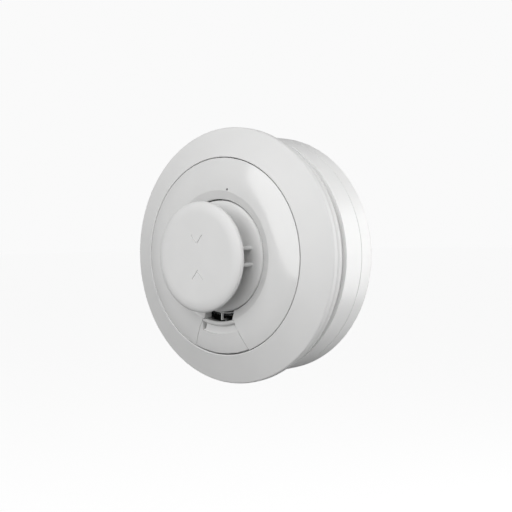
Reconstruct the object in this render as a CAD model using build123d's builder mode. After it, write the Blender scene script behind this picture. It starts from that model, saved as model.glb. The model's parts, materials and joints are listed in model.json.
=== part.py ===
"""Surface-mounted heat detector, modelled as the pieces it comes apart into.

Frame: the wall is the plane y = 0 and the detector faces -Y, with +Z up. The origin is the centre of
the back face. A "depth" is a distance in millimetres out from the wall, so a depth d lies at y = -d.
Outlines that are turned about the detector's axis are given as (radius, depth).
"""

from build123d import *
from math import cos, radians, sin, sqrt
import os

# --- Driving dimensions, in millimetres -----------------------------------------------------------

# Radii of what shows from outside
FLANGE_RADIUS = 75.0
BODY_RADIUS = 71.5
BEAD_RADIUS = 73.7
NECK_RADIUS = 69.2
HEAD_RADIUS = 57.0
COVER_HOLE_RADIUS = 33.0
COLLAR_RADIUS = 32.3
CAP_RADIUS = 31.5

# Depths, out from the wall
BOX_DEPTH = 11.3
SPACER_DEPTH = 27.0
BEAD_BACK = 33.0
BEAD_FRONT = 39.8
FLANGE_EDGE_DEPTH = 44.0
HEAD_SEAM_DEPTH = 51.2
DOME_TOP_DEPTH = 54.35
COLLAR_TOP_DEPTH = 52.9
CAP_BACK_DEPTH = 66.2
CAP_FACE_DEPTH = 71.0

# Clearances and walls
SEAM_GAP = 0.4
WALL = 2.4
SHELL = 2.0
MOVING_GAP = 0.3

# Motion
TWIST_ANGLE = 16.0
BUTTON_TRAVEL = 1.2

# The head's inner levels
HOUSING_BACK = 36.0
HOUSING_FLOOR = 1.8
HOUSING_FRONT = 46.0
BOARD_BACK = 39.4
BOARD_THICKNESS = 1.6
BOARD_FRONT = BOARD_BACK + BOARD_THICKNESS

# The dome's crown is one arc that meets the flange's slope at the seam
CROWN_RADIUS = 43.0
CROWN_CENTRE = 40.5
CROWN_CENTRE_DEPTH = DOME_TOP_DEPTH - CROWN_RADIUS

# Bayonet, three places round the head
BAYONET_ANGLES = (90.0, 210.0, 330.0)
LUG_HALF_ANGLE = 7.0
LUG_RADIUS = 62.0
LUG_THICKNESS = 2.0

# The wedge-shaped insert under the button: its straight sides spread as they go down
WEDGE_TOP = -36.4
WEDGE_BOTTOM = -60.0
WEDGE_TOP_HALF_WIDTH = 11.7
WEDGE_SPREAD = 0.519
FLAP_GAP = 0.2

# The sound outlet between the button and the insert
MOUTH_HALF_WIDTH = 10.8

os.makedirs("parts", exist_ok=True)


# --- Helpers --------------------------------------------------------------------------------------


def front_plane(depth):
    """A plane square to the axis, facing the room: its x is +X, its y is +Z."""
    return Plane(origin=(0, -depth, 0), x_dir=(1, 0, 0), z_dir=(0, -1, 0))


def place(radius, angle):
    """The (x, z) of a point at that radius and angle about the axis."""
    return (radius * cos(radians(angle)), radius * sin(radians(angle)))


def dome_depth(radius):
    """Depth of the dome's outer surface at a radius on its crown."""
    return CROWN_CENTRE_DEPTH + sqrt(CROWN_RADIUS**2 - (radius - CROWN_CENTRE) ** 2)


def outline(points):
    """Closed outline through (radius, depth) points, ready to turn about the axis."""
    with BuildSketch(Plane.XY) as drawn:
        with BuildLine():
            Polyline(*[(radius, -depth) for radius, depth in points], close=True)
        make_face()
    return drawn.sketch


def discs(depth, radius, places):
    """Equal circles at the given (x, z) places."""
    with BuildSketch(front_plane(depth)) as drawn:
        with Locations(*places):
            Circle(radius)
    return drawn.sketch


def box_between(depth, low, high):
    """A rectangle between two (x, z) corners."""
    with BuildSketch(front_plane(depth)) as drawn:
        with Locations(((low[0] + high[0]) / 2, (low[1] + high[1]) / 2)):
            Rectangle(high[0] - low[0], high[1] - low[1])
    return drawn.sketch


def ring_sector(depth, inner, outer, start, end):
    """The part of a flat ring between two angles."""
    middle = (start + end) / 2
    with BuildSketch(front_plane(depth)) as drawn:
        with BuildLine():
            rim = ThreePointArc(place(outer, start), place(outer, middle), place(outer, end))
            bore = ThreePointArc(place(inner, start), place(inner, middle), place(inner, end))
            Line(rim @ 0, bore @ 0)
            Line(rim @ 1, bore @ 1)
        make_face()
    return drawn.sketch


def wedge(depth, inset=0.0):
    """The insert's outline seen from the front, with its top and sides moved in by inset."""
    half_top = WEDGE_TOP_HALF_WIDTH - inset * sqrt(1 + WEDGE_SPREAD**2)
    half_bottom = half_top + (WEDGE_TOP - WEDGE_BOTTOM) * WEDGE_SPREAD
    top = WEDGE_TOP - inset
    with BuildSketch(front_plane(depth)) as drawn:
        with BuildLine():
            Polyline(
                (-half_top, top),
                (half_top, top),
                (half_bottom, WEDGE_BOTTOM),
                (-half_bottom, WEDGE_BOTTOM),
                close=True,
            )
        make_face()
    return drawn.sketch


# A cross recess, as shares of the screw head's radius and height
RECESS_LENGTH = 1.2
RECESS_WIDTH = 0.28
RECESS_DEPTH = 0.6


def pan_screws(places, seat, shank_radius, shank_length, head_radius, head_height, driven_from_front=True):
    """Cross-head screws: each head stands on the seat depth and its shank runs the other way."""
    side = 1 if driven_from_front else -1
    extrude(discs(seat, head_radius, places), amount=side * head_height)
    extrude(discs(seat, shank_radius, places), amount=-side * shank_length)
    recess_length = head_radius * RECESS_LENGTH
    recess_width = head_radius * RECESS_WIDTH
    with BuildSketch(front_plane(seat + side * head_height)) as cross:
        with Locations(*places):
            Rectangle(recess_length, recess_width)
            Rectangle(recess_width, recess_length)
    extrude(cross.sketch, amount=-side * head_height * RECESS_DEPTH, mode=Mode.SUBTRACT)


def save(builder, name):
    """Label a finished piece and write it."""
    builder.part.label = name
    export_step(builder.part, f"parts/{name}.step")


# --- Wall plate: the flat disc that is screwed to the wall and takes the cable --------------------

SCREW_RADIUS = 1.5
WALL_SLOT_SPACING = 60.0
WALL_SLOT_LENGTH = 9.0
WALL_SLOT_WIDTH = 4.4
WALL_HOLE_SPACING = 90.0
WALL_HOLE_RADIUS = 2.2
CABLE_ENTRY_HEIGHT = 25.0
CABLE_ENTRY_RADIUS = 10.0

box_inner_radius = BODY_RADIUS - WALL
slot_places = [(-WALL_SLOT_SPACING / 2, 0), (WALL_SLOT_SPACING / 2, 0)]
wall_hole_places = [(0, -WALL_HOLE_SPACING / 2), (0, WALL_HOLE_SPACING / 2)]

with BuildPart() as wall_plate:
    extrude(discs(0, box_inner_radius, [(0, 0)]), amount=WALL)
    extrude(discs(0, CABLE_ENTRY_RADIUS, [(0, CABLE_ENTRY_HEIGHT)]), amount=WALL, mode=Mode.SUBTRACT)
    extrude(discs(0, WALL_HOLE_RADIUS, wall_hole_places), amount=WALL, mode=Mode.SUBTRACT)
    with BuildSketch(front_plane(0)):
        with Locations(*slot_places):
            SlotOverall(WALL_SLOT_LENGTH, WALL_SLOT_WIDTH)
    extrude(amount=WALL, mode=Mode.SUBTRACT)
save(wall_plate, "wall_plate")

# --- Pillars on the wall plate: the base plate is screwed to them and clamps both rings -----------

PILLAR_RADIUS = 4.8
PILLAR_PITCH = 62.0
PILLAR_ANGLES = (15, 105, 195, 285)
PILLAR_HOLE_BACK = 14.0
pillar_places = [place(PILLAR_PITCH, angle) for angle in PILLAR_ANGLES]

with BuildPart() as box_pillars:
    extrude(discs(WALL, PILLAR_RADIUS, pillar_places), amount=SPACER_DEPTH - WALL)
    extrude(discs(PILLAR_HOLE_BACK, SCREW_RADIUS, pillar_places), amount=SPACER_DEPTH, mode=Mode.SUBTRACT)
save(box_pillars, "box_pillars")

# --- Back box: the first cylinder, a ring round the wall plate with a ledge that holds its edge ---

REAR_ROUND = 2.0
BOX_LEDGE_RADIUS = 67.3
BOX_LEDGE = 1.6

with BuildPart() as back_box:
    revolve(
        outline(
            [
                (box_inner_radius, 0),
                (BODY_RADIUS, 0),
                (BODY_RADIUS, BOX_DEPTH),
                (box_inner_radius, BOX_DEPTH),
                (box_inner_radius, WALL + BOX_LEDGE),
                (BOX_LEDGE_RADIUS, WALL + BOX_LEDGE),
                (BOX_LEDGE_RADIUS, WALL),
                (box_inner_radius, WALL),
            ]
        ),
        axis=Axis.Y,
    )
    rear_edges = back_box.faces().sort_by(Axis.Y)[-1].edges()
    fillet(rear_edges.sort_by(SortBy.RADIUS)[-1], REAR_ROUND)
save(back_box, "back_box")

# --- Cable grommet: rubber cone pushed into the cable entry from the front ------------------------

GROMMET_FLANGE_RADIUS = 12.5
GROMMET_FLANGE = 2.0
GROMMET_NOSE_RADIUS = 7.0
GROMMET_NOSE = 3.0
GROMMET_NOSE_TAPER = 15.0
GROMMET_ROUND = 0.6
CABLE_BORE_RADIUS = 4.5

with BuildPart() as cable_grommet:
    with BuildSketch(front_plane(0)):
        with Locations((0, CABLE_ENTRY_HEIGHT)):
            Circle(CABLE_ENTRY_RADIUS)
    extrude(amount=WALL)
    with BuildSketch(front_plane(WALL)):
        with Locations((0, CABLE_ENTRY_HEIGHT)):
            Circle(GROMMET_FLANGE_RADIUS)
    extrude(amount=GROMMET_FLANGE)
    fillet(cable_grommet.faces().sort_by(Axis.Y)[0].edges(), GROMMET_ROUND)
    with BuildSketch(front_plane(WALL + GROMMET_FLANGE)):
        with Locations((0, CABLE_ENTRY_HEIGHT)):
            Circle(GROMMET_NOSE_RADIUS)
    extrude(amount=GROMMET_NOSE, taper=GROMMET_NOSE_TAPER)
    with BuildSketch(front_plane(0)):
        with Locations((0, CABLE_ENTRY_HEIGHT)):
            Circle(CABLE_BORE_RADIUS)
    extrude(amount=WALL + GROMMET_FLANGE + GROMMET_NOSE, mode=Mode.SUBTRACT)
save(cable_grommet, "cable_grommet")

# --- Spacer ring: the second cylinder, with a lip inside the back box -----------------------------

GROOVE_WIDTH = 0.5
GROOVE_DEPTH = 0.6
LIP_RADIUS = 68.9
LIP_THICKNESS = 1.6
LIP_REACH = 2.0
SPACER_LEDGE_RADIUS = 66.9
SPACER_LEDGE = 2.4
SPACER_ROUND = 0.3

with BuildPart() as spacer_ring:
    with BuildSketch(Plane.XY) as spacer_outline:
        add(
            outline(
                [
                    (LIP_RADIUS - LIP_THICKNESS, BOX_DEPTH - LIP_REACH),
                    (LIP_RADIUS, BOX_DEPTH - LIP_REACH),
                    (LIP_RADIUS, BOX_DEPTH),
                    (BODY_RADIUS - GROOVE_DEPTH, BOX_DEPTH),
                    (BODY_RADIUS - GROOVE_DEPTH, BOX_DEPTH + GROOVE_WIDTH),
                    (BODY_RADIUS, BOX_DEPTH + GROOVE_WIDTH),
                    (BODY_RADIUS, SPACER_DEPTH),
                    (SPACER_LEDGE_RADIUS, SPACER_DEPTH),
                    (SPACER_LEDGE_RADIUS, SPACER_DEPTH - SPACER_LEDGE),
                    (box_inner_radius, SPACER_DEPTH - SPACER_LEDGE),
                    (box_inner_radius, BOX_DEPTH + LIP_REACH),
                    (LIP_RADIUS - LIP_THICKNESS, BOX_DEPTH + LIP_REACH),
                ]
            )
        )
        front_corner = spacer_outline.vertices().sort_by_distance((BODY_RADIUS, -SPACER_DEPTH))[0]
        fillet(front_corner, SPACER_ROUND)
    revolve(axis=Axis.Y)
save(spacer_ring, "spacer_ring")

# --- Base plate: floor, neck, bead and the bayonet that holds the head ----------------------------

PLATE_FLOOR = 2.4
SCREW_HEAD_RADIUS = 2.8
SCREW_HEAD = 2.0
BASE_SCREW_LENGTH = 12.0
CLEARANCE_HOLE_RADIUS = 1.7
BEAD_WEB = 0.6
HOOK_OVERRUN_ANGLE = 0.5
NECK_GROOVE_BACK = 31.2
NECK_GROOVE_DEPTH = 0.9
BEAD_SWELL_DEPTH = 35.8
BEAD_WIDTH = 2.8
BEAD_INNER_RADIUS = 70.6
NECK_INNER_RADIUS = 67.1
HOOK_INNER_RADIUS = 57.8
HOOK_POST_RADIUS = 62.5
HOOK_OUTER_RADIUS = 65.5
HOOK_BACK = HOUSING_BACK + LUG_THICKNESS + MOVING_GAP
HOOK_FRONT = 40.0
STOP_GAP_ANGLE = 0.6
STOP_ANGLE = 2.4
plate_front = SPACER_DEPTH + PLATE_FLOOR

with BuildPart() as base_plate:
    with BuildSketch(Plane.XY):
        with BuildLine():
            bead_centre = (BEAD_RADIUS - BEAD_WIDTH, -BEAD_SWELL_DEPTH)
            Polyline(
                (0, -SPACER_DEPTH),
                (NECK_RADIUS, -SPACER_DEPTH),
                (NECK_RADIUS, -NECK_GROOVE_BACK),
                (NECK_RADIUS - NECK_GROOVE_DEPTH, -NECK_GROOVE_BACK),
                (NECK_RADIUS - NECK_GROOVE_DEPTH, -BEAD_BACK),
                (bead_centre[0], -BEAD_BACK),
            )
            EllipticalCenterArc(bead_centre, BEAD_WIDTH, BEAD_SWELL_DEPTH - BEAD_BACK, arc_size=90)
            EllipticalCenterArc(
                bead_centre, BEAD_WIDTH, BEAD_FRONT - BEAD_SWELL_DEPTH, start_angle=-90, arc_size=90
            )
            Polyline(
                (bead_centre[0], -BEAD_FRONT),
                (BEAD_INNER_RADIUS, -BEAD_FRONT),
                (BEAD_INNER_RADIUS, -BEAD_SWELL_DEPTH),
                (NECK_INNER_RADIUS, -BEAD_BACK - BEAD_WEB),
                (NECK_INNER_RADIUS, -plate_front),
                (0, -plate_front),
                (0, -SPACER_DEPTH),
            )
        make_face()
    revolve(axis=Axis.Y)
    for angle in BAYONET_ANGLES:
        first = angle - LUG_HALF_ANGLE - STOP_GAP_ANGLE - STOP_ANGLE
        last = angle + LUG_HALF_ANGLE + HOOK_OVERRUN_ANGLE
        extrude(
            ring_sector(plate_front, HOOK_POST_RADIUS, HOOK_OUTER_RADIUS, first, last),
            amount=HOOK_FRONT - plate_front,
        )
        extrude(
            ring_sector(HOOK_BACK, HOOK_INNER_RADIUS, HOOK_OUTER_RADIUS, first, last),
            amount=HOOK_FRONT - HOOK_BACK,
        )
        extrude(
            ring_sector(plate_front, HOOK_INNER_RADIUS, HOOK_OUTER_RADIUS, first, first + STOP_ANGLE),
            amount=HOOK_FRONT - plate_front,
        )
        end = angle + LUG_HALF_ANGLE + TWIST_ANGLE + STOP_GAP_ANGLE
        extrude(
            ring_sector(plate_front, HOOK_INNER_RADIUS, HOOK_OUTER_RADIUS, end, end + STOP_ANGLE),
            amount=HOOK_BACK - plate_front,
        )
    extrude(
        discs(SPACER_DEPTH, CLEARANCE_HOLE_RADIUS, pillar_places), amount=PLATE_FLOOR, mode=Mode.SUBTRACT
    )
save(base_plate, "base_plate")

with BuildPart() as base_screws:
    pan_screws(pillar_places, plate_front, SCREW_RADIUS, BASE_SCREW_LENGTH, SCREW_HEAD_RADIUS, SCREW_HEAD)
save(base_screws, "base_screws")

# --- Terminal block, behind the base plate, with its screws and cover -----------------------------

BLOCK_HALF_WIDTH = 24.0
BLOCK_TOP = -18.0
BLOCK_BOTTOM = -34.0
BLOCK_BACK = 13.0
WAYS = (-18.0, -6.0, 6.0, 18.0)
WIRE_DEPTH = 18.0
WIRE_RADIUS = 2.2
WIRE_SOCKET = 12.0
CLAMP_RADIUS = 2.0
CLAMP_HEIGHT = -27.0
COVER_WALL = 1.2
COVER_BACK = 11.0
COVER_REACH = 21.0
BLOCK_ROUND = 1.0
CLAMP_FIT = 0.1
CLAMP_SINK = 0.6
CLAMP_LENGTH = 3.0
CLAMP_SLOT_WIDTH = 0.6
CLAMP_SLOT_DEPTH = 0.8

clamp_places = [(way, CLAMP_HEIGHT) for way in WAYS]
block_bottom_plane = Plane(origin=(0, -WIRE_DEPTH, BLOCK_BOTTOM), x_dir=(1, 0, 0), z_dir=(0, 0, 1))

with BuildPart() as terminal_block:
    extrude(
        box_between(BLOCK_BACK, (-BLOCK_HALF_WIDTH, BLOCK_BOTTOM), (BLOCK_HALF_WIDTH, BLOCK_TOP)),
        amount=SPACER_DEPTH - BLOCK_BACK,
    )
    fillet(terminal_block.edges().filter_by(Axis.Y), BLOCK_ROUND)
    with BuildSketch(block_bottom_plane):
        with Locations(*[(way, 0) for way in WAYS]):
            Circle(WIRE_RADIUS)
    extrude(amount=WIRE_SOCKET, mode=Mode.SUBTRACT)
    clamp_bores = discs(BLOCK_BACK, CLAMP_RADIUS + CLAMP_FIT, clamp_places)
    extrude(clamp_bores, amount=WIRE_DEPTH - BLOCK_BACK, mode=Mode.SUBTRACT)
save(terminal_block, "terminal_block")

with BuildPart() as terminal_screws:
    extrude(discs(BLOCK_BACK + CLAMP_SINK, CLAMP_RADIUS, clamp_places), amount=CLAMP_LENGTH)
    with BuildSketch(front_plane(BLOCK_BACK + CLAMP_SINK)):
        with Locations(*clamp_places):
            Rectangle(2 * CLAMP_RADIUS, CLAMP_SLOT_WIDTH)
    extrude(amount=CLAMP_SLOT_DEPTH, mode=Mode.SUBTRACT)
save(terminal_screws, "terminal_screws")

with BuildPart() as terminal_cover:
    cover_half = BLOCK_HALF_WIDTH + COVER_WALL
    extrude(
        box_between(COVER_BACK, (-cover_half, BLOCK_BOTTOM), (cover_half, BLOCK_TOP + COVER_WALL)),
        amount=COVER_REACH - COVER_BACK,
    )
    block_outline = box_between(
        COVER_BACK + COVER_WALL, (-BLOCK_HALF_WIDTH, BLOCK_BOTTOM), (BLOCK_HALF_WIDTH, BLOCK_TOP)
    )
    extrude(block_outline, amount=COVER_REACH, mode=Mode.SUBTRACT)
save(terminal_cover, "terminal_cover")

# --- Contact springs on the base plate, under the head's pins -------------------------------------

CONTACT_PITCH = 40.0
CONTACT_ANGLES = (60, 120, 240, 300)
CONTACT_PIN_RADIUS = 1.6
CONTACT_PIN_BACK = 32.0
LEAF_THICKNESS = 0.4
LEAF_WIDTH = 5.0
LEAF_FOOT = 7.0
LEAF_ANCHOR = 4.0
LEAF_TOP_HALF = 2.0
LEAF_TAIL = 5.0
LEAF_BEND = 0.8
LEAF_RISE = CONTACT_PIN_BACK - MOVING_GAP - LEAF_THICKNESS / 2 - plate_front

with BuildPart() as contact_springs:
    for angle in CONTACT_ANGLES:
        x, z = place(CONTACT_PITCH - LEAF_WIDTH / 2, angle)
        radial = (cos(radians(angle)), 0, sin(radians(angle)))
        tangent = (-sin(radians(angle)), 0, cos(radians(angle)))
        with BuildSketch(Plane(origin=(x, -plate_front, z), x_dir=tangent, z_dir=radial)):
            with BuildLine():
                half = LEAF_THICKNESS / 2
                FilletPolyline(
                    (-LEAF_FOOT - LEAF_ANCHOR, half),
                    (-LEAF_FOOT, half),
                    (-LEAF_TOP_HALF, LEAF_RISE),
                    (LEAF_TOP_HALF, LEAF_RISE),
                    (LEAF_TAIL, LEAF_RISE / 2),
                    radius=LEAF_BEND,
                )
            trace(line_width=LEAF_THICKNESS)
        extrude(amount=LEAF_WIDTH)
save(contact_springs, "contact_springs")

# --- Trim ring: the broad conical flange ----------------------------------------------------------

TRIM_INNER_RADIUS = HEAD_RADIUS + SEAM_GAP
TRIM_WALL = 1.8
RIM_BACK = 40.4
RIM_CHAMFER = 0.6
RIM_ROUND = 1.3
SEAT_RADIUS = 72.2
TRIM_SPIGOT_RADIUS = 70.4
TRIM_SPIGOT_INNER = 68.4
TRIM_SPIGOT_BACK = 36.5
TRIM_INNER_BACK = 42.0
EDGE_ROUND = 0.4
cone_slope = (HEAD_SEAM_DEPTH - FLANGE_EDGE_DEPTH) / (FLANGE_RADIUS - TRIM_INNER_RADIUS)
cone_drop = SHELL * sqrt(1 + cone_slope**2)


def cone_depth(radius):
    """Depth of the flange's conical face at a radius."""
    return FLANGE_EDGE_DEPTH + (FLANGE_RADIUS - radius) * cone_slope


with BuildPart() as trim_ring:
    with BuildSketch(Plane.XY) as trim_outline:
        with BuildLine():
            inner_wall = TRIM_INNER_RADIUS + TRIM_WALL
            Polyline(
                (TRIM_INNER_RADIUS, -cone_depth(TRIM_INNER_RADIUS)),
                (TRIM_INNER_RADIUS, -TRIM_INNER_BACK),
                (inner_wall, -TRIM_INNER_BACK),
                (inner_wall, -cone_depth(inner_wall) + cone_drop),
                (TRIM_SPIGOT_INNER, -cone_depth(TRIM_SPIGOT_INNER) + cone_drop),
                (TRIM_SPIGOT_INNER, -TRIM_SPIGOT_BACK),
                (TRIM_SPIGOT_RADIUS, -TRIM_SPIGOT_BACK),
                (TRIM_SPIGOT_RADIUS, -BEAD_FRONT),
                (SEAT_RADIUS, -BEAD_FRONT),
                (SEAT_RADIUS, -RIM_BACK),
                (FLANGE_RADIUS - RIM_CHAMFER, -RIM_BACK),
                (FLANGE_RADIUS, -RIM_BACK - RIM_CHAMFER),
                (FLANGE_RADIUS, -cone_depth(FLANGE_RADIUS)),
                close=True,
            )
        make_face()
        front_corners = trim_outline.vertices().sort_by(Axis.Y)
        fillet(front_corners[0], EDGE_ROUND)
        fillet(trim_outline.vertices().sort_by(Axis.X)[-1], RIM_ROUND)
    revolve(axis=Axis.Y)
save(trim_ring, "trim_ring")

# --- Head housing: the rear shell of the head -----------------------------------------------------

HOUSING_RADIUS = 56.4
HOUSING_WALL = 1.8
HEAD_SCREW_PITCH = 48.0
HEAD_SCREW_ANGLES = (45, 135, 225, 315)
HEAD_SCREW_RADIUS = 1.3
HEAD_SCREW_SEAT = 37.6
HEAD_SCREW_LENGTH = 11.0
HEAD_SCREW_HEAD = 1.5
HOUSING_BOSS_RADIUS = 4.0
COUNTERBORE_RADIUS = 3.1
CELL_RADIUS = 5.25
CELL_HALF_LENGTH = 22.0
CELL_X = -43.6
CELL_DEPTH = 43.7
SADDLE_HEIGHTS = (-14.0, 14.0)
SADDLE_INSET = 0.5
SADDLE_WIDTH = 4.0
SADDLE_RISE = 4.0
CELL_FIT = 0.1
housing_inner = HOUSING_RADIUS - HOUSING_WALL
housing_floor_front = HOUSING_BACK + HOUSING_FLOOR
head_screw_places = [place(HEAD_SCREW_PITCH, angle) for angle in HEAD_SCREW_ANGLES]
contact_places = [place(CONTACT_PITCH, angle) for angle in CONTACT_ANGLES]
cell_plane = Plane(origin=(CELL_X, -CELL_DEPTH, -CELL_HALF_LENGTH), x_dir=(1, 0, 0), z_dir=(0, 0, 1))

with BuildPart() as head_housing:
    revolve(
        outline(
            [
                (0, HOUSING_BACK),
                (HOUSING_RADIUS, HOUSING_BACK),
                (HOUSING_RADIUS, HOUSING_FRONT),
                (housing_inner, HOUSING_FRONT),
                (housing_inner, housing_floor_front),
                (0, housing_floor_front),
            ]
        ),
        axis=Axis.Y,
    )
    for angle in BAYONET_ANGLES:
        lug = ring_sector(
            HOUSING_BACK, housing_inner, LUG_RADIUS, angle - LUG_HALF_ANGLE, angle + LUG_HALF_ANGLE
        )
        extrude(lug, amount=LUG_THICKNESS)
    board_seat = BOARD_BACK - housing_floor_front
    extrude(discs(housing_floor_front, HOUSING_BOSS_RADIUS, head_screw_places), amount=board_seat)
    with BuildSketch(front_plane(housing_floor_front)):
        with Locations(*[(CELL_X, height) for height in SADDLE_HEIGHTS]):
            Rectangle(2 * (CELL_RADIUS - SADDLE_INSET), SADDLE_WIDTH)
    extrude(amount=SADDLE_RISE)
    with BuildSketch(cell_plane):
        Circle(CELL_RADIUS + CELL_FIT)
    extrude(amount=2 * CELL_HALF_LENGTH, mode=Mode.SUBTRACT)
    extrude(
        discs(HOUSING_BACK, COUNTERBORE_RADIUS, head_screw_places),
        amount=HEAD_SCREW_SEAT - HOUSING_BACK,
        mode=Mode.SUBTRACT,
    )
    screw_holes = discs(HOUSING_BACK, CLEARANCE_HOLE_RADIUS, head_screw_places)
    extrude(screw_holes, amount=BOARD_BACK - HOUSING_BACK, mode=Mode.SUBTRACT)
    pin_holes = discs(HOUSING_BACK, CONTACT_PIN_RADIUS, contact_places)
    extrude(pin_holes, amount=HOUSING_FLOOR, mode=Mode.SUBTRACT)
save(head_housing, "head_housing")

with BuildPart() as head_screws:
    pan_screws(
        head_screw_places,
        HEAD_SCREW_SEAT,
        HEAD_SCREW_RADIUS,
        HEAD_SCREW_LENGTH,
        SCREW_HEAD_RADIUS,
        HEAD_SCREW_HEAD,
        driven_from_front=False,
    )
save(head_screws, "head_screws")

PIN_TIP_ROUND = 0.8
PIN_COLLAR = 0.8
PIN_COLLAR_HEIGHT = 0.6

with BuildPart() as contact_pins:
    extrude(discs(CONTACT_PIN_BACK, CONTACT_PIN_RADIUS, contact_places), amount=BOARD_BACK - CONTACT_PIN_BACK)
    fillet(contact_pins.faces().sort_by(Axis.Y)[-len(CONTACT_ANGLES) :].edges(), PIN_TIP_ROUND)
    pin_collars = discs(housing_floor_front, CONTACT_PIN_RADIUS + PIN_COLLAR, contact_places)
    extrude(pin_collars, amount=PIN_COLLAR_HEIGHT)
save(contact_pins, "contact_pins")

# --- Front cover: the dome, with the button's throat and the sound outlet at six o'clock ----------

CREST_RADIUS = 38.0
CREST_ROUND = 0.8
HOLE_EDGE_DEPTH = 52.3
HOLE_EDGE_ROUND = 0.5
THROAT_RADIUS = COVER_HOLE_RADIUS + SHELL
THROAT_BACK = 45.2
WINDOW_BACK = 47.2
CHUTE_WALL = 1.2
CHUTE_TOP = -30.5
CHUTE_FRONT = 52.5
SILL_RADIUS = 39.0
SILL_WIDTH = 2.0
SILL_HALF_ANGLE = 16.0
SILL_LAP = 1.0
SIX_O_CLOCK = 270.0
RIB_HALF = 0.4
RIB_TOP = -33.3
RIB_BOTTOM = -37.2
RIB_FRONT = 51.0
RIB_THICKNESS = 1.4
RIB_FOOT_TOP = -36.5
POST_RADIUS = 3.5
POST_FRONT = 52.0
POST_CAP = 2.0
LIGHT_PLACE = (8.9, 38.2)
PIPE_RADIUS = 1.15
PIPE_SOCKET_WALL = 1.0
PINHOLE_RADIUS = 0.6
PIPE_BACK = 46.0
PIPE_SHOULDER = 52.9
HINGE_Z = -54.5
HINGE_DEPTH = 49.6
KNUCKLE_RADIUS = 1.1
HINGE_PIN_RADIUS = 0.5
COVER_LUG_X = 7.5
COVER_LUG_WIDTH = 2.0
COVER_LUG_REACH = 2.8
THROAT_JOIN = 1.0
FAR_FRONT = 80.0
skirt_inner = HEAD_RADIUS - SHELL


def inner_dome_depth(radius, thickness=SHELL):
    """Depth of the surface that lies a thickness under the dome's crown."""
    return CROWN_CENTRE_DEPTH + sqrt((CROWN_RADIUS - thickness) ** 2 - (radius - CROWN_CENTRE) ** 2)


def hinge_plane(x):
    """A plane square to the flap's hinge line: its x runs back to the wall, its y is +Z."""
    return Plane(origin=(x, -HINGE_DEPTH, HINGE_Z), x_dir=(0, 1, 0), z_dir=(1, 0, 0))


def knuckles(starts, width, radius, reach, mode=Mode.ADD):
    """Round lugs on the hinge line, each with a web that reaches back (or, if negative, forward)."""
    for start in starts:
        with BuildSketch(hinge_plane(start)) as lug:
            Circle(radius)
            if reach:
                with Locations((reach / 2, 0)):
                    Rectangle(abs(reach), 2 * radius)
        extrude(lug.sketch, amount=width, mode=mode)


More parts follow.
